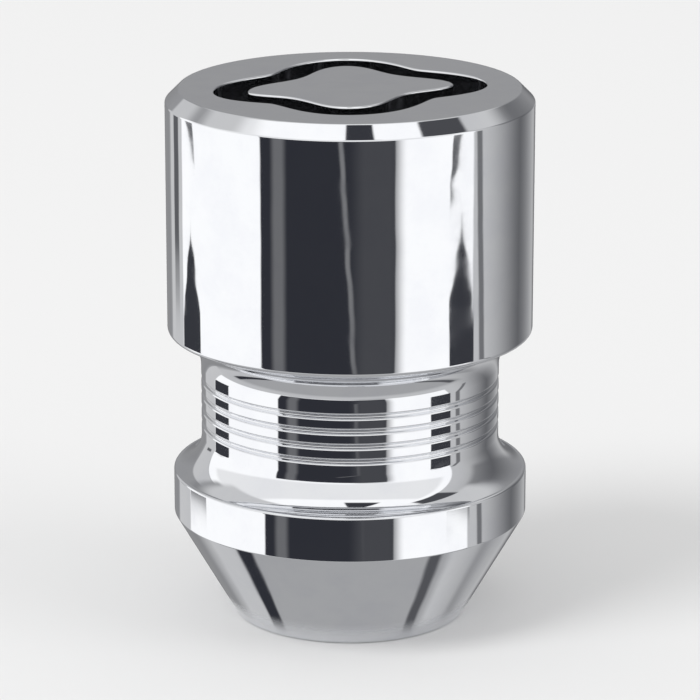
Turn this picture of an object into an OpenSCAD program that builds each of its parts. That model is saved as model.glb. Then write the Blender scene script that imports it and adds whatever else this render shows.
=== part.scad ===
// Locking wheel nut, M12 x 1.5, with a cone seat and a grooved key end.
// One turned piece. +Z is the key end, and the origin is the centre of the open end's face, on the axis.

/* [Head] */
// Diameter of the head
head_d = 22; // [20:0.1:26]
// Length of the head, from its underside to the key end
head_len = 14.9; // [11:0.1:22]
// Chamfer around the key end
head_chamfer = 0.8; // [0.3:0.05:1.2]
// Rounding of the head's lower edge
head_round = 0.35; // [0.1:0.05:0.6]

/* [Waist] */
// Diameter of the waist over its rings
waist_d = 18; // [16.5:0.1:19.5]
// Length of the waist, from the collar to the head
waist_len = 8.5; // [7.6:0.1:14]
// Radius of the hollow flare at each end of the waist
flare_r = 2.2; // [1.5:0.05:2.4]
// Number of rings around the waist
ring_count = 5; // [1:1:5]
// Distance from one ring to the next
ring_pitch = 0.92; // [0.7:0.02:1]
// Width of the groove between two rings
ring_gap = 0.34; // [0.2:0.02:0.6]
// Depth of the groove between two rings
ring_depth = 0.18; // [0.1:0.01:0.3]

/* [Collar] */
// Diameter of the collar, which is the wide end of the seat
collar_d = 21.4; // [20.5:0.1:24]
// Length of the collar
collar_len = 2.7; // [1:0.1:5]
// Edge break at each end of the collar
collar_break = 0.15; // [0.05:0.05:0.4]

/* [Seat] */
// Included angle of the cone seat, in degrees
seat_angle = 60; // [50:1:90]
// Width of the flat ring between the mouth and the seat, at the open end
end_land = 0.6; // [0.3:0.05:1.4]

/* [Thread] */
// Major diameter of the thread
thread_d = 12; // [10:0.5:12.5]
// Pitch of the thread
thread_pitch = 1.5; // [1:0.25:1.75]
// Depth of the straight hole, from the open end
bore_depth = 23.5; // [16:0.5:24]
// Angle of the drill point, in degrees
drill_angle = 118; // [90:1:140]
// How much wider the mouth's countersink is than the thread
mouth_over = 0.8; // [0.2:0.1:1.2]
// Included angle of the mouth's countersink, in degrees
mouth_angle = 90; // [60:5:120]

/* [Key groove] */
// Width of the groove
groove_w = 2; // [1.4:0.1:2.4]
// Depth of the groove, from the key end
groove_depth = 4; // [2:0.1:4.5]
// Radius of the groove's middle line at the tip of each lobe
lobe_r = [7.2, 7.0, 7.2, 6.7]; // [6.4:0.1:7.6]
// Direction of each lobe from the axis, in degrees
lobe_at = [8, 92, 195, 268]; // [0:1:359]
// Radius of the groove's middle line in the dip after each lobe
dip_r = [5.4, 4.9, 5.5, 4.8]; // [4.4:0.1:6.1]
// Direction of each dip from the axis, in degrees
dip_at = [51, 143, 227, 326]; // [0:1:359]

/* [Hidden] */
$fn = 96;

chrome_colour = [0.80, 0.81, 0.83];

// The mouth clears the thread, and the open end's face is a flat ring around it.
mouth_d = thread_d + mouth_over;
end_d = mouth_d + 2 * end_land;

// Heights along the axis, from the open end up.
seat_len = (collar_d - end_d) / 2 / tan(seat_angle / 2);
collar_top = seat_len + collar_len;
head_bottom = collar_top + waist_len;
nut_len = head_bottom + head_len;

// An internal metric thread is bored to its minor diameter: the major less 1.0825 pitches.
minor_d = thread_d - 1.0825 * thread_pitch;
drill_tip = minor_d / 2 / tan(drill_angle / 2);
mouth_depth = (mouth_d - minor_d) / 2 / tan(mouth_angle / 2);

// A flare's arc leaves the waist along the axis and stops short of the rounded and broken edges beside it.
flare_rest = 0.1;
flare_room = min(collar_d / 2 - collar_break, head_d / 2 - head_round) - waist_d / 2 - flare_rest;
flare_out = max(0.1, min(flare_r, flare_room));
flare_len = sqrt(flare_r * flare_r - (flare_r - flare_out) * (flare_r - flare_out));

// The groove's line is drawn in this many steps around the axis.
groove_steps = 120;

// How far a cut reaches past a face, and how far one outline runs into the next.
cut = 1;
lap = 0.5;

// The cone seat and the collar above it, with the collar's two edges broken.
module seat_and_collar_outline() {
    polygon([
        [0, 0],
        [end_d / 2, 0],
        [collar_d / 2 - collar_break, seat_len - collar_break / tan(seat_angle / 2)],
        [collar_d / 2, seat_len + collar_break],
        [collar_d / 2, collar_top - collar_break],
        [collar_d / 2 - collar_break, collar_top],
        [0, collar_top]
    ]);
}

// A groove between two rings. Its sides lean out, and its floor is a third of its width.
module ring_groove_outline() {
    lean = ring_gap / 3 / ring_depth;
    polygon([
        [-ring_depth, -ring_gap / 6],
        [cut, -ring_gap / 6 - lean * (ring_depth + cut)],
        [cut, ring_gap / 6 + lean * (ring_depth + cut)],
        [-ring_depth, ring_gap / 6]
    ]);
}

// The waist with its rings, which are left between grooves spaced about its middle.
// It runs into the collar and the head, so that no gap is left where they meet.
module waist_outline() {
    difference() {
        translate([0, collar_top - lap]) square([waist_d / 2, waist_len + 2 * lap]);
        for (i = [1 : 1 : ring_count - 1])
            translate([waist_d / 2, collar_top + waist_len / 2 + (i - ring_count / 2) * ring_pitch])
                ring_groove_outline();
    }
}

// A hollow flare from the waist out to a shoulder at height 0; side is 1 for a shoulder below it.
module flare_outline(side) {
    difference() {
        translate([waist_d / 2 - flare_out / 2, side > 0 ? 0 : -flare_len])
            square([flare_r + flare_out / 2, flare_len]);
        translate([waist_d / 2 + flare_r, side * flare_len]) circle(r = flare_r);
    }
}

// The head, rounded below and chamfered at the key end.
module head_outline() {
    difference() {
        translate([0, head_bottom]) polygon([
            [0, 0],
            [head_d / 2, 0],
            [head_d / 2, head_len - head_chamfer],
            [head_d / 2 - head_chamfer, head_len],
            [0, head_len]
        ]);
        translate([head_d / 2 - head_round, head_bottom - head_round])
            square(2 * head_round);
    }
    translate([head_d / 2 - head_round, head_bottom + head_round]) circle(r = head_round);
}

module nut_outline() {
    seat_and_collar_outline();
    translate([0, collar_top]) flare_outline(1);
    waist_outline();
    translate([0, head_bottom]) flare_outline(-1);
    head_outline();
}

// The tapped hole as it is drilled: the thread's minor diameter, a drill point and a countersunk mouth.
module tapped_hole() {
    translate([0, 0, -cut]) cylinder(d = minor_d, h = bore_depth + cut);
    translate([0, 0, bore_depth]) cylinder(d1 = minor_d, d2 = 0, h = drill_tip);
    translate([0, 0, -cut])
        cylinder(
            d1 = mouth_d + 2 * cut * tan(mouth_angle / 2),
            d2 = minor_d,
            h = mouth_depth + cut
        );
}

// The turning points of the groove's line, in order around the axis, each a direction and a radius.
turns = [for (i = [0 : 3]) each [[lobe_at[i], lobe_r[i]], [dip_at[i], dip_r[i]]]];

// Angle from a up to b, going around once at most.
function ahead(a, b) = (b - a + 720) % 360;

// The last turning point at or before direction a.
function turn_before(a) =
    [for (i = [0 : len(turns) - 1])
        if (ahead(turns[i][0], a) < ahead(turns[i][0], turns[(i + 1) % len(turns)][0])) i][0];

// Radius of the groove's line in direction a: half a cosine wave from one turning point to the next.
function line_r(a) =
    let (
        i = turn_before(a),
        from = turns[i],
        to = turns[(i + 1) % len(turns)],
        part = ahead(from[0], a) / ahead(from[0], to[0])
    )
    from[1] + (to[1] - from[1]) * (1 - cos(180 * part)) / 2;

function line_point(a) = line_r(a) * [cos(a), sin(a)];

// The point beside the line in direction a, square to the line and side away from it.
function beside(a, side) =
    let (along = line_point(a + 0.5) - line_point(a - 0.5))
    line_point(a) + side * [along[1], -along[0]] / norm(along);

function groove_edge(side) =
    [for (i = [0 : groove_steps - 1]) beside(i * 360 / groove_steps, side)];

// The closed wavy groove, which leaves an island flush with the key end.
module key_groove() {
    translate([0, 0, nut_len - groove_depth])
        linear_extrude(height = groove_depth + cut)
            difference() {
                polygon(groove_edge(groove_w / 2));
                polygon(groove_edge(-groove_w / 2));
            }
}

module lock_nut() {
    color(chrome_colour)
        difference() {
            rotate_extrude() nut_outline();
            tapped_hole();
            key_groove();
        }
}

lock_nut();
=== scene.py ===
import math
from collections import namedtuple

import bpy
import numpy as np
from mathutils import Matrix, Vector


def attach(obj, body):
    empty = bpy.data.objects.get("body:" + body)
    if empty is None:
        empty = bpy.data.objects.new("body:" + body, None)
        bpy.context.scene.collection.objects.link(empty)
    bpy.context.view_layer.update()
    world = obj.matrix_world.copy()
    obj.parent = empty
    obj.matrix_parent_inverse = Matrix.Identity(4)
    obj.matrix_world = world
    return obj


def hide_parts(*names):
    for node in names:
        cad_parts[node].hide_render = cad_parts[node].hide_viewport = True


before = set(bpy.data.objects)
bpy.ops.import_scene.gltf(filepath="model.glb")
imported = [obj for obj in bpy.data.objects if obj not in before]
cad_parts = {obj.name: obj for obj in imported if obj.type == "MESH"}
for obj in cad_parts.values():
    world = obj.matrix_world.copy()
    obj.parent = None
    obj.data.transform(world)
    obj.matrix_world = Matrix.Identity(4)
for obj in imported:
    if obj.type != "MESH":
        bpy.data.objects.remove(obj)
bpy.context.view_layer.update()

MM = 0.001

# A half and a full turn, in degrees.
HALF_TURN = 180
FULL_TURN = 360

# The nut's driving sizes, as in the part's source, and heights from the open end up.
HEAD_R = 11.0 * MM
HEAD_LEN = 14.9 * MM
HEAD_CHAMFER = 0.8 * MM
HEAD_ROUND = 0.35 * MM
WAIST_R = 9.0 * MM
WAIST_LEN = 8.5 * MM
FLARE_R = 2.2 * MM
RING_COUNT = 5
RING_PITCH = 0.92 * MM
RING_GAP = 0.34 * MM
RING_DEPTH = 0.18 * MM
COLLAR_R = 10.7 * MM
COLLAR_LEN = 2.7 * MM
COLLAR_BREAK = 0.15 * MM
SEAT_HALF_ANGLE = math.radians(30)
THREAD_R = 6.0 * MM
THREAD_PITCH = 1.5 * MM
BORE_DEPTH = 23.5 * MM
DRILL_HALF_ANGLE = math.radians(59)
MOUTH_R = 6.4 * MM
END_R = 7.0 * MM
GROOVE_W = 2.0 * MM
GROOVE_DEPTH = 4.0 * MM

# The groove's line around the axis: direction in degrees and radius in mm, at its lobes and dips in turn.
GROOVE_TURNS = [(8, 7.2), (51, 5.4), (92, 7.0), (143, 4.9), (195, 7.2), (227, 5.5), (268, 6.7), (326, 4.8)]

# An internal metric thread is bored to its minor radius, which is 0.54125 pitches less than the major one.
MINOR_R = THREAD_R - 0.54125 * THREAD_PITCH
DRILL_LEN = MINOR_R / math.tan(DRILL_HALF_ANGLE)

# A flare ends this far from the broken edge beside it, and its flat ring begins a little past its end.
FLARE_REST = 0.1 * MM
FLARE_STEP = 0.02 * MM
FLARE_OUT = COLLAR_R - COLLAR_BREAK - WAIST_R - FLARE_REST
FLARE_LEN = math.sqrt(FLARE_R**2 - (FLARE_R - FLARE_OUT) ** 2)

SEAT_LEN = (COLLAR_R - END_R) / math.tan(SEAT_HALF_ANGLE)
COLLAR_TOP = SEAT_LEN + COLLAR_LEN
HEAD_BOTTOM = COLLAR_TOP + WAIST_LEN
NUT_TOP = HEAD_BOTTOM + HEAD_LEN
GROOVE_FLOOR = NUT_TOP - GROOVE_DEPTH

# Softened edges: what turning and plating leave on a corner.
EDGE = 0.16 * MM
GROOVE_EDGE = 0.12 * MM
GROOVE_FOOT = 0.30 * MM
RING_LIP = 0.13 * MM
RING_FOOT = 0.09 * MM

# How finely the nut is drawn: directions around the axis, and steps along each rounded edge and flare.
AROUND = 240
EDGE_STEPS = 4
FLARE_STEPS = 22

# Rows across the flat faces and the drill point, as shares of the way.
FACE_ROWS = (0.35, 0.7)
ISLAND_ROWS = (0.3, 0.6, 0.9)
DRILL_ROWS = (0.06, 0.5, 0.98)

# The thread's rows: so many a pitch from the hole's end down to one height, and so many a pitch from there
# down to the next. The rest follow after a small gap, evenly down to the mouth's edge.
DEEP_ROWS, DEEP_END = 9, 9 * MM
OPEN_ROWS, OPEN_END = 14, 2.4 * MM
MOUTH_GAP, MOUTH_ROWS = THREAD_PITCH / 26, 42

# The thread fades out over this length, up to one pitch short of the hole's end.
TAP_END = BORE_DEPTH - THREAD_PITCH
TAP_FADE = 2 * THREAD_PITCH

# The colour darkens and the gloss dulls over these depths in the groove and in the hole, where the mouth
# stays bright.
GROOVE_DARKENING = 0.9 * MM
BRIGHT_MOUTH = 0.5 * MM
HOLE_DARKENING = 2.5 * MM


# Sections: arrays with a row for each point, holding radius, height and the normal's two parts.
# They run from the bore over the open end and up the outside, so the metal is always on their left.


def arc(centre, radius, start, end, steps, side=1):
    """Points at one distance from a centre, from angle start to angle end in degrees.

    The normal at each is the ray from the centre, or its opposite where side is -1.
    """
    turn = np.radians(np.linspace(start, end, steps + 1))
    ray = np.stack([np.cos(turn), np.sin(turn)], axis=1)
    return np.hstack([np.asarray(centre) + radius * ray, side * ray])


def corner(before, point, after, radius, steps):
    """A corner rounded by the arc that touches both of its straight runs.

    The arc's centre is on the corner's bisector, at the radius over the sine of half its angle. A left turn
    is a ridge, whose normals leave the centre, and a right turn is a hollow, whose normals meet there.
    """
    before, point, after = (np.asarray(p, dtype=float) for p in (before, point, after))
    back = (before - point) / np.linalg.norm(before - point)
    ahead = (after - point) / np.linalg.norm(after - point)
    half = np.arccos(np.clip(back @ ahead, -1, 1)) / 2
    bisector = (back + ahead) / np.linalg.norm(back + ahead)
    centre = point + bisector * radius / np.sin(half)
    ridge = back[1] * ahead[0] - back[0] * ahead[1] > 0
    sweep = 90 - np.degrees(half)
    middle = np.degrees(np.arctan2(-bisector[1], -bisector[0]))
    ends = (middle - sweep, middle + sweep) if ridge else (middle + sweep, middle - sweep)
    return arc(centre, radius, *ends, steps, 1 if ridge else -1)


def rounded_run(points, radii, steps):
    """The corners of a run of straight lines, each rounded by its own radius. Its two ends give no rows."""
    corners = zip(points, points[1:], points[2:], radii, steps)
    return np.vstack([corner(*each) for each in corners])


def flare(shoulder, side):
    """The hollow flare beside a shoulder at one height: an arc that leaves the waist along the axis.

    Its centre is a flare radius out from the waist. It ends short of the shoulder's edge, at a flat ring.
    """
    centre = (WAIST_R + FLARE_R, shoulder + side * FLARE_LEN)
    open_angle = 180 + side * math.degrees(math.atan2(FLARE_LEN, FLARE_R - FLARE_OUT))
    bow = arc(centre, FLARE_R, open_angle, 180, FLARE_STEPS, -1)
    flat = np.array([[WAIST_R + FLARE_OUT + FLARE_STEP, shoulder, 0, side]])
    return np.vstack([flat, bow] if side > 0 else [bow[::-1], flat])


def rings():
    """The waist's rings, left between grooves with leaning sides and four rounded corners each.

    A groove's floor is a third of its width, and the grooves are one pitch apart about the waist's middle.
    """
    middle = COLLAR_TOP + WAIST_LEN / 2
    centres = middle + (np.arange(1, RING_COUNT) - RING_COUNT / 2) * RING_PITCH
    lip, foot = RING_GAP / 2, RING_GAP / 6
    one = np.array([[0, -lip], [-RING_DEPTH, -foot], [-RING_DEPTH, foot], [0, lip]])
    run = centres[:, None, None] * np.array([0, 1]) + one + [WAIST_R, 0]
    points = np.vstack([[WAIST_R, COLLAR_TOP], run.reshape(-1, 2), [WAIST_R, HEAD_BOTTOM]])
    radii = [RING_LIP, RING_FOOT, RING_FOOT, RING_LIP] * (RING_COUNT - 1)
    return rounded_run(points, radii, [EDGE_STEPS] * len(radii))


def outside_section():
    """The turned outline from the mouth's edge to the key end: seat, collar, waist with rings, and head."""
    mouth_depth = MOUTH_R - MINOR_R
    lower = rounded_run(
        [
            (MINOR_R, mouth_depth),
            (MOUTH_R, 0),
            (END_R, 0),
            (COLLAR_R, SEAT_LEN),
            (COLLAR_R, COLLAR_TOP),
            (WAIST_R, COLLAR_TOP),
        ],
        [EDGE / 2, EDGE, EDGE, COLLAR_BREAK],
        [EDGE_STEPS] * 4,
    )
    upper = rounded_run(
        [
            (WAIST_R, HEAD_BOTTOM),
            (HEAD_R, HEAD_BOTTOM),
            (HEAD_R, NUT_TOP - HEAD_CHAMFER),
            (HEAD_R - HEAD_CHAMFER, NUT_TOP),
            (0, NUT_TOP),
        ],
        [HEAD_ROUND, EDGE, EDGE],
        [2 * EDGE_STEPS, EDGE_STEPS, EDGE_STEPS],
    )
    return np.vstack([lower, flare(COLLAR_TOP, 1), rings(), flare(HEAD_BOTTOM, -1), upper])


def groove_section():
    """The key groove's section, with the distance from the groove's line in place of the radius."""
    half = GROOVE_W / 2
    far = GROOVE_W
    return rounded_run(
        [
            (far, NUT_TOP),
            (half, NUT_TOP),
            (half, GROOVE_FLOOR),
            (-half, GROOVE_FLOOR),
            (-half, NUT_TOP),
            (-far, NUT_TOP),
        ],
        [GROOVE_EDGE, GROOVE_FOOT, GROOVE_FOOT, GROOVE_EDGE],
        [EDGE_STEPS] * 4,
    )


# Surfaces: arrays of points and of normals, both rows by directions by three.

TURN = np.linspace(0, 2 * math.pi, AROUND, endpoint=False)
RAY = np.stack([np.cos(TURN), np.sin(TURN)], axis=1)


def carried(section, line, out):
    """A section carried along a line: each point's distance laid off outwards, its height as it is."""
    flat = line + section[:, None, 0:1] * out
    across = section[:, None, 2:3] * out
    up = np.broadcast_to(section[:, None, 1:2], flat.shape[:2] + (1,))
    rise = np.broadcast_to(section[:, None, 3:4], up.shape)
    return np.concatenate([flat, up], axis=2), np.concatenate([across, rise], axis=2)


def turned(section):
    """A section carried once around the axis, with each point's radius along the ray."""
    return carried(section, 0, RAY)


def groove_line(turn):
    """The groove's line: its radius goes from one turning point to the next as half a cosine wave."""
    at, radius = np.array(GROOVE_TURNS).T
    at = np.append(at, at[0] + FULL_TURN)
    radius = np.append(radius, radius[0]) * MM
    degrees = (np.degrees(turn) - at[0]) % FULL_TURN + at[0]
    last = np.searchsorted(at, degrees, side="right") - 1
    part = (degrees - at[last]) / (at[last + 1] - at[last])
    reach = radius[last] + (radius[last + 1] - radius[last]) * (1 - np.cos(np.pi * part)) / 2
    return reach[:, None] * np.stack([np.cos(turn), np.sin(turn)], axis=1)


def milled(section):
    """A section carried along the groove's line and square to it.

    The line's direction is taken from its points half a degree before and after.
    """
    step = math.radians(0.5)
    along = groove_line(TURN + step) - groove_line(TURN - step)
    along /= np.linalg.norm(along, axis=1, keepdims=True)
    out = np.stack([along[:, 1], -along[:, 0]], axis=1)
    return carried(section, groove_line(TURN), out)


def tapped():
    """The threaded hole, from the drill point's edge down to the mouth: a radius over height and direction.

    It is the major radius less the square root of three times the distance along the axis past the flat of
    the nearest root, which is an eighth of a pitch wide. It is kept between the two thread radii, and fades
    out over the tap's last turns. The countersink cuts it, so the larger of the two radii counts.
    """
    deep = np.arange(BORE_DEPTH, DEEP_END, -THREAD_PITCH / DEEP_ROWS)
    open_part = np.arange(deep[-1] - THREAD_PITCH / OPEN_ROWS, OPEN_END, -THREAD_PITCH / OPEN_ROWS)
    mouth = np.linspace(open_part[-1] - MOUTH_GAP, EDGE / 4, MOUTH_ROWS)
    height = np.concatenate([deep, open_part, mouth])[:, None]
    phase = (height / THREAD_PITCH - TURN / (2 * math.pi)) % 1
    from_root = np.abs(phase - 0.5) * THREAD_PITCH
    cut = THREAD_R - (from_root - THREAD_PITCH / 16) * math.sqrt(3)
    depth = np.clip(cut, MINOR_R, THREAD_R) - MINOR_R
    fade = np.clip((TAP_END - height) / TAP_FADE, 0, 1)
    radius = np.maximum(MINOR_R + depth * fade, MOUTH_R - height)
    slope_up = np.gradient(radius, height[:, 0], axis=0)
    wrapped = np.concatenate([radius[:, -1:], radius, radius[:, :1]], axis=1)
    slope_round = np.gradient(wrapped, TURN[1], axis=1)[:, 1:-1] / radius
    across = -RAY[None] + slope_round[:, :, None] * np.stack([-RAY[:, 1], RAY[:, 0]], axis=1)
    up = np.broadcast_to(height[:, :, None], radius.shape + (1,))
    points = np.concatenate([radius[:, :, None] * RAY, up], axis=2)
    normals = np.concatenate([across, slope_up[:, :, None]], axis=2)
    return points, normals / np.linalg.norm(normals, axis=2, keepdims=True)


def drill_point():
    """The drill point's cone: straight from near its tip down to the wall, with the cone's one normal."""
    part = np.array(DRILL_ROWS)
    rows = np.stack([part * MINOR_R, BORE_DEPTH + (1 - part) * DRILL_LEN], axis=1)
    lean = np.array([-math.cos(DRILL_HALF_ANGLE), -math.sin(DRILL_HALF_ANGLE)])
    return turned(np.hstack([rows, np.broadcast_to(lean, rows.shape)]))


def between(first, last, parts):
    """Flat rows from one ring to another, each point on the straight line between its two."""
    share = np.asarray(parts)[:, None, None]
    points = first + (last - first) * share
    return points, np.broadcast_to(np.array([0.0, 0.0, 1.0]), points.shape)


def recess_of(points):
    """How deep a point lies in the hole or the groove, from 0 on the outside to 1 where the colour is
    darkest and the gloss dullest.
    """
    radius = np.hypot(points[..., 0], points[..., 1])
    height = points[..., 2]
    in_groove = (radius < HEAD_R - 2 * HEAD_CHAMFER) & (height > GROOVE_FLOOR - EDGE)
    in_hole = (radius < MOUTH_R) & (height < BORE_DEPTH + THREAD_R)
    groove = np.clip((NUT_TOP - GROOVE_EDGE - height) / GROOVE_DARKENING, 0, 1)
    hole = np.clip((height - BRIGHT_MOUTH) / HOLE_DARKENING, 0, 1)
    return np.where(in_groove, groove, np.where(in_hole, hole, 0.0))


def nut_surface():
    """All of the nut's rows in one run: drill point, thread, outside, key end, groove and island."""
    outside = turned(outside_section())
    groove = milled(groove_section())
    rim, island_edge = outside[0][-1], groove[0][-1]
    centre = np.broadcast_to(np.array([0.0, 0.0, NUT_TOP]), rim.shape)
    pieces = [
        drill_point(),
        tapped(),
        outside,
        between(rim, groove[0][0], FACE_ROWS),
        groove,
        between(island_edge, centre, ISLAND_ROWS),
    ]
    points = np.concatenate([piece[0] for piece in pieces])
    normals = np.concatenate([piece[1] for piece in pieces])
    return points, normals


def closed_faces(rows, tip, centre):
    """Quads between each row and the next, all the way around, and a fan of triangles at each pole."""
    index = np.arange(rows * AROUND).reshape(rows, AROUND)
    beside = np.roll(index, -1, axis=1)
    quads = np.stack([index[:-1], beside[:-1], beside[1:], index[1:]], axis=2).reshape(-1, 4)
    first = np.stack([beside[0], index[0], np.full(AROUND, tip)], axis=1)
    last = np.stack([index[-1], beside[-1], np.full(AROUND, centre)], axis=1)
    return quads.tolist() + first.tolist() + last.tolist()


def make_nut():
    """The whole nut as one closed skin, with its exact normals and the depth of its recesses."""
    points, normals = nut_surface()
    rows = points.shape[0]
    tip = [0, 0, BORE_DEPTH + DRILL_LEN]
    vertices = np.vstack([points.reshape(-1, 3), tip, [0, 0, NUT_TOP]])
    directions = np.vstack([normals.reshape(-1, 3), [0, 0, -1], [0, 0, 1]])
    recess = np.append(recess_of(points).ravel(), [1, 0])
    mesh = bpy.data.meshes.new("lock_nut_skin")
    mesh.from_pydata(vertices.tolist(), [], closed_faces(rows, len(vertices) - 2, len(vertices) - 1))
    mesh.shade_smooth()
    mesh.normals_split_custom_set_from_vertices(directions.tolist())
    mesh.attributes.new("recess", "FLOAT", "POINT").data.foreach_set("value", recess.astype(np.float32))
    nut = bpy.data.objects.new("lock_nut_skin", mesh)
    bpy.context.collection.objects.link(nut)
    return nut


# Shader maths: a formula on sockets adds its own Math nodes.


class Socket:
    """One output of a node. Adding to it, taking away and multiplying give new sockets."""

    def __init__(self, shader, output):
        self.shader = shader
        self.output = output

    def __add__(self, other):
        return self.shader.maths("ADD", self, other)

    __radd__ = __add__

    def __sub__(self, other):
        return self.shader.maths("SUBTRACT", self, other)

    def __rsub__(self, other):
        return self.shader.maths("SUBTRACT", other, self)

    def __mul__(self, other):
        return self.shader.maths("MULTIPLY", self, other)

    __rmul__ = __mul__


class Shader:
    """The node tree of a material or of the world, emptied."""

    def __init__(self, owner):
        owner.use_nodes = True
        self.tree = owner.node_tree
        self.tree.nodes.clear()

    def node(self, kind, settings=None, sockets=None, out=0):
        """A node of any kind: its settings first, then the values or links of its sockets."""
        made = self.tree.nodes.new(kind)
        for name, value in (settings or {}).items():
            setattr(made, name, value)
        for name, value in (sockets or {}).items():
            if isinstance(value, Socket):
                self.tree.links.new(value.output, made.inputs[name])
            else:
                made.inputs[name].default_value = value
        return Socket(self, made.outputs[out]) if made.outputs else made

    def maths(self, operation, *values):
        """One Math node, by its operation's name."""
        return self.node("ShaderNodeMath", {"operation": operation}, dict(enumerate(values)))

    def parts(self, vector):
        """A vector's three numbers: x, y and z."""
        return [self.node("ShaderNodeSeparateXYZ", None, {"Vector": vector}, out=axis) for axis in "XYZ"]

    def ramp(self, value, start, end, low=0.0, high=1.0):
        """From low to high, smoothly, as the value goes from start to end."""
        sockets = {"Value": value, "From Min": start, "From Max": end, "To Min": low, "To Max": high}
        return self.node("ShaderNodeMapRange", {"interpolation_type": "SMOOTHSTEP"}, sockets)

    def mix(self, factor, first, second):
        """A colour between two, by a factor."""
        sockets = {0: factor, 6: first, 7: second}
        return self.node("ShaderNodeMix", {"data_type": "RGBA"}, sockets, out=2)

    def noise(self, where, scale, detail, roughness):
        """Noise over a place, between 0 and 1."""
        sockets = {"Vector": where, "Scale": scale, "Detail": detail, "Roughness": roughness}
        return self.node("ShaderNodeTexNoise", None, sockets)

    def ray(self, kind):
        """Whether this is a ray of one kind, by the Light Path node's name for it."""
        return self.node("ShaderNodeLightPath", out=kind)


def grey(level, tint=(1.0, 1.0, 1.0)):
    """A colour of one level, times a tint."""
    return tuple(level * part for part in tint) + (1.0,)


# Finishes.

PLATE = (0.80, 0.81, 0.83, 1.0)
PLATE_SHADE = (0.77, 0.78, 0.81, 1.0)
# The base colour deep in the hole and the groove: it darkens with depth.
RECESS_DARK = (0.22, 0.22, 0.23, 1.0)

# The noises: how fine each is, as about how many of its spots fit in a metre, then its detail and roughness.
SWELL = (260, 1.0, 0.5)
TURNING = (7000, 2.0, 0.5)
CLOUD = (420, 4.0, 0.6)
PITS = (5200, 3.0, 0.7)

# How far each noise lifts the surface, in mm. The turning shows most on the faced key end, and pits only
# inside.
SWELL_RISE = 0.012
PIT_RISE = 0.0045
TURNING_RISE = 0.00003
FACING_RISE = 0.0004

# Roughness: the least, and what the cloud and the faced key end add to it; then the same in the recesses.
BRIGHT, BRIGHT_CLOUD, FACING = 0.028, 0.03, 0.10
DULL, DULL_CLOUD = 0.30, 0.22

# Where the cloud starts and stops to count, for the gloss and for the tint, and where the key end begins.
GLOSS_CLOUD = (0.42, 0.75)
TINT_CLOUD = (0.35, 0.7)
KEY_END = (NUT_TOP - 0.05 * MM, NUT_TOP - 0.01 * MM)


def chrome_plate():
    """Bright chrome over turned steel: near a mirror outside, darker and dull deeper in the hole and the
    groove.

    The plate keeps a trace of the turning under it as faint rings, and a slow swell that bends reflections a
    little. Its gloss varies softly, as on a new part that was handled.
    """
    material = bpy.data.materials.new("chrome_plate")
    shader = Shader(material)
    where = shader.node("ShaderNodeTexCoord", out="Object")
    inside = shader.node("ShaderNodeAttribute", {"attribute_name": "recess"}, out="Fac")
    x, y, z = shader.parts(where)
    radius = shader.maths("SQRT", x * x + y * y)
    section = shader.node("ShaderNodeCombineXYZ", None, {"X": radius, "Z": z})

    swell = shader.noise(where, *SWELL)
    turning = shader.noise(section, *TURNING)
    cloud = shader.noise(where, *CLOUD)
    pits = shader.noise(where, *PITS)

    key_end = shader.ramp(z, *KEY_END)
    gloss = BRIGHT + BRIGHT_CLOUD * shader.ramp(cloud, *GLOSS_CLOUD) + FACING * key_end
    dull = DULL + DULL_CLOUD * cloud
    plate = shader.mix(shader.ramp(cloud, *TINT_CLOUD), PLATE, PLATE_SHADE)
    turned_rise = TURNING_RISE + FACING_RISE * key_end
    height = SWELL_RISE * swell + turned_rise * turning + PIT_RISE * inside * pits
    bump = shader.node("ShaderNodeBump", None, {"Strength": 1.0, "Distance": MM, "Height": height})
    surface = shader.node(
        "ShaderNodeBsdfPrincipled",
        None,
        {
            # The base colour darkens with depth in the hole and the groove.
            "Base Color": shader.mix(inside, plate, RECESS_DARK),
            "Metallic": 1.0,
            "Roughness": gloss + (dull - gloss) * inside,
            "Normal": bump,
        },
    )
    shader.node("ShaderNodeOutputMaterial", None, {"Surface": surface})
    return material


# The stage: a pale floor, soft lamps, and a studio of panels and cards that only reflections meet.

PALE = grey(0.80)
FLOOR_R = 1.2
FLOOR_SIDES = 96
FLOOR_Z = -0.01 * MM

# Reflections meet the floor only in a ring: from just inside the open end's edge to a little past it.
UNDER_NUT = (0.94 * END_R, 0.98 * END_R)
NEAR_FLOOR = (7.0 * MM, 8.2 * MM)

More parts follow.
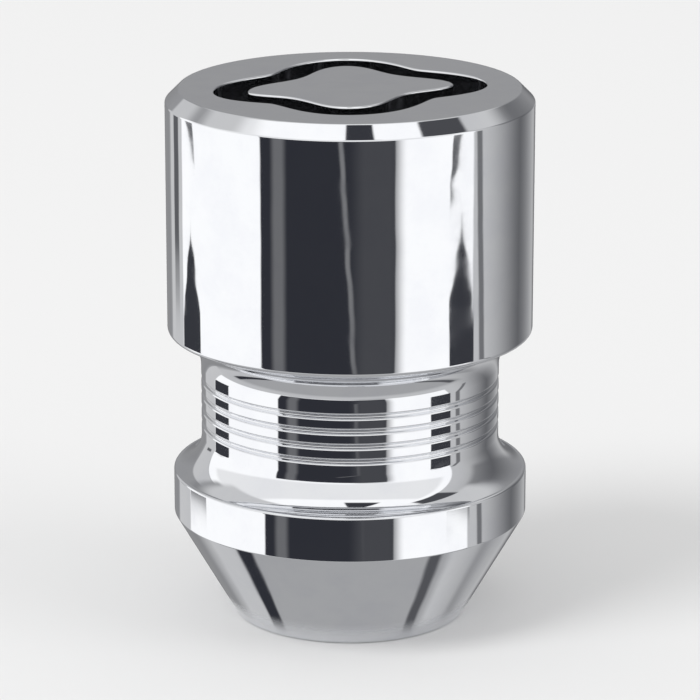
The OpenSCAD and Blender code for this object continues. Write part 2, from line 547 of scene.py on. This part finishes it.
# A card hangs far away and covers the directions within its width and between its low and high edges, all in
# degrees, with azimuth 0 at the camera and more to the right. Its edges are soft. Its sides lean left by so
# many degrees for each one up, so its azimuth is the one that it has at the horizon. Above a height it
# narrows by so many degrees on each side for each one up. With a negative narrow it widens there, from a
# width just under none, so that it begins at a point.
Card = namedtuple("Card", "azimuth width low high soft level lean narrow above", defaults=(0, 0, 0))
CARDS = {
    "below": Card(0, 360, -120, -40, 4, 0.34),
    "below_light_right": Card(124, 22, -66, -36, 4, 0.52),
    "below_light_left": Card(-132, 22, -66, -36, 4, 0.50),
    "below_dark_right": Card(103, 9, -68, -42, 2, 0.06),
    "below_dark_left": Card(-116, 11, -68, -40, 1.5, 0.0),
    "behind_low": Card(180, 150, -2, 34, 5, 0.27),
    "behind_left": Card(-164, 34, -50, 6, 8, 0.22),
    "behind_dark": Card(176, 24, -40, 4, 6, 0.12),
    "left_edge": Card(-139, 20, -34, 70, 1.2, 0.52),
    "right_fade": Card(131, 40, -40, 40, 26, 0.08),
    "ceiling": Card(0, 360, 50, 120, 4, 0.95),
    "front_panels": Card(-23, 211, -30, 80, 0.8, 1.0),
    "front_haze": Card(-22, 192, 9, 57, 3, 0.80),
    "left_high": Card(-143, 46, 30, 60, 5, 0.15),
    "right_high": Card(143, 50, 30, 60, 5, 0.28),
    "behind_high": Card(180, 150, 34, 67, 5, 0.55),
    "camera_side": Card(-14.5, 85, -29, 5, 0.7, 0.0),
    "slot": Card(15, 44, 66, 84, 2.0, 0.01),
    "right_slot": Card(95, 26, 45, 65, 1.5, 0.04),
    "left_streak": Card(-45, 8, -29, 5, 2.2, 0.12),
    "middle_streak": Card(-39.4, 2.8, -22, -11.6, 0.9, 0.17, 2.6),
    "right_glow": Card(17, 26, -29, 5, 6, 0.034),
    "left_wedge": Card(-118, 20, -18.2, 0, 0.4, 0.01, 0, 8, -15.45),
    "left_sliver": Card(-271, -1, -16, -12.5, 0.3, 0.08, 12, -7, -13.3),
    "right_wedge": Card(67.6, 19, -18.2, 0, 0.4, 0.01, 0.4, 7.7, -15.4),
    "right_sliver": Card(174, -1, -16, -12.8, 0.3, 0.08, -8, -4.4, -13.9),
    "right_band": Card(73, 4.5, -30, -11, 0.9, 0.14, 1.1),
    "left_line": Card(-138, 8, -15, -11.4, 0.9, 0.08),
}
STUDIO_BASE = 0.5
CARD_WHITE = grey(1.2)
CARD_BLACK = grey(0.035, (0.95, 1.0, 1.25))


def card_cover(shader, azimuth, elevation, card):
    """How much a card covers a direction: full inside its edges and none outside them, softly."""
    half = card.width / 2
    if card.narrow:
        lost = shader.maths("MAXIMUM", elevation - card.above, 0) * card.narrow
        half = half - lost
    cover = 1.0
    if card.width < FULL_TURN:
        turn = azimuth + (FULL_TURN + HALF_TURN - card.azimuth)
        if card.lean:
            turn = turn + elevation * card.lean
        aside = shader.maths("ABSOLUTE", shader.maths("FLOORED_MODULO", turn, FULL_TURN) - HALF_TURN)
        cover = shader.ramp(aside - half, -card.soft, card.soft, 1.0, 0.0)
    if card.low > -90:
        cover = shader.ramp(elevation, card.low - card.soft, card.low + card.soft) * cover
    if card.high < 90:
        cover = shader.ramp(elevation, card.high - card.soft, card.high + card.soft, 1.0, 0.0) * cover
    return cover


def light_world():
    """A pale room, with the studio's cards in front of it for reflections alone."""
    world = bpy.data.worlds.new("studio")
    bpy.context.scene.world = world
    shader = Shader(world)
    toward = shader.node("ShaderNodeTexCoord", out="Generated")
    x, y, z = shader.parts(toward)
    azimuth = shader.maths("ARCTAN2", x, 0 - y) * math.degrees(1)
    elevation = shader.maths("ARCSINE", z) * math.degrees(1)
    level = STUDIO_BASE
    for card in CARDS.values():
        cover = card_cover(shader, azimuth, elevation, card)
        level = level + (card.level - level) * cover
    studio = shader.mix(level, CARD_BLACK, CARD_WHITE)
    room = shader.node("ShaderNodeBackground", None, {"Color": PALE, "Strength": 1.0})
    cards = shader.node("ShaderNodeBackground", None, {"Color": studio, "Strength": 1.0})
    seen = shader.node("ShaderNodeMixShader", None, {0: shader.ray("Is Glossy Ray"), 1: room, 2: cards})
    shader.node("ShaderNodeOutputWorld", None, {"Surface": seen})


# Round lamps: place and size in metres, and power in watts.
Lamp = namedtuple("Lamp", "place size power")
LAMPS = {
    "key_lamp": Lamp((-1.05, -0.75, 1.65), 0.90, 15.0),
    "fill_lamp": Lamp((1.35, -0.60, 1.05), 1.05, 4.5),
}
NUT_MIDDLE = Vector((0, 0, NUT_TOP / 2))


def add_lamp(name, kind):
    """A soft lamp, turned to the nut's middle and left out of reflections."""
    lamp = bpy.data.lights.new(name, "AREA")
    lamp.shape = "DISK"
    lamp.size = kind.size
    lamp.energy = kind.power
    stand = bpy.data.objects.new(name, lamp)
    stand.location = kind.place
    stand.rotation_euler = (NUT_MIDDLE - Vector(kind.place)).to_track_quat("-Z", "Y").to_euler()
    stand.visible_glossy = False
    bpy.context.collection.objects.link(stand)


def add_floor():
    """A round pale floor, clear from below. Reflections meet it near the nut, and the studio further out."""
    turn = np.linspace(0, 2 * math.pi, FLOOR_SIDES, endpoint=False)
    rim = np.stack([FLOOR_R * np.cos(turn), FLOOR_R * np.sin(turn), np.full_like(turn, FLOOR_Z)], axis=1)
    mesh = bpy.data.meshes.new("floor")
    mesh.from_pydata(rim.tolist(), [], [list(range(len(rim)))])
    floor = bpy.data.objects.new("floor", mesh)
    bpy.context.collection.objects.link(floor)
    material = bpy.data.materials.new("pale_floor")
    shader = Shader(material)
    where = shader.node("ShaderNodeTexCoord", out="Object")
    radius = shader.node("ShaderNodeVectorMath", {"operation": "LENGTH"}, {0: where}, out=1)
    far = shader.ramp(radius, *NEAR_FLOOR) + shader.ramp(radius, *UNDER_NUT, 1.0, 0.0)
    matt = shader.node("ShaderNodeBsdfDiffuse", None, {"Color": PALE})
    clear = shader.node("ShaderNodeBsdfTransparent")
    from_below = shader.node("ShaderNodeNewGeometry", out="Backfacing")
    through = shader.maths("MAXIMUM", far * shader.ray("Is Glossy Ray"), from_below)
    surface = shader.node("ShaderNodeMixShader", None, {0: through, 1: matt, 2: clear})
    shader.node("ShaderNodeOutputMaterial", None, {"Surface": surface})
    mesh.materials.append(material)


# The camera looks down on the nut as the photograph does on its key end, through a long lens.
CAMERA_LENS = 200
CAMERA_ELEVATION = math.radians(16)
CAMERA_DISTANCE = 0.235
CAMERA_CLIP = (0.01, 10)


def add_camera():
    """The camera, in front of the nut and above it, turned to the nut's middle."""
    camera = bpy.data.cameras.new("camera")
    camera.lens = CAMERA_LENS
    stand = bpy.data.objects.new("camera", camera)
    back = Vector((0, -math.cos(CAMERA_ELEVATION), math.sin(CAMERA_ELEVATION)))
    stand.location = NUT_MIDDLE + back * CAMERA_DISTANCE
    stand.rotation_euler = (-back).to_track_quat("-Z", "Y").to_euler()
    camera.clip_start, camera.clip_end = CAMERA_CLIP
    bpy.context.collection.objects.link(stand)
    bpy.context.scene.camera = stand


nut = make_nut()
nut.data.materials.append(chrome_plate())
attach(nut, "root")
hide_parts("lock_nut")

add_camera()
add_floor()
light_world()
for name, kind in LAMPS.items():
    add_lamp(name, kind)
bpy.context.scene.view_settings.view_transform = "Standard"
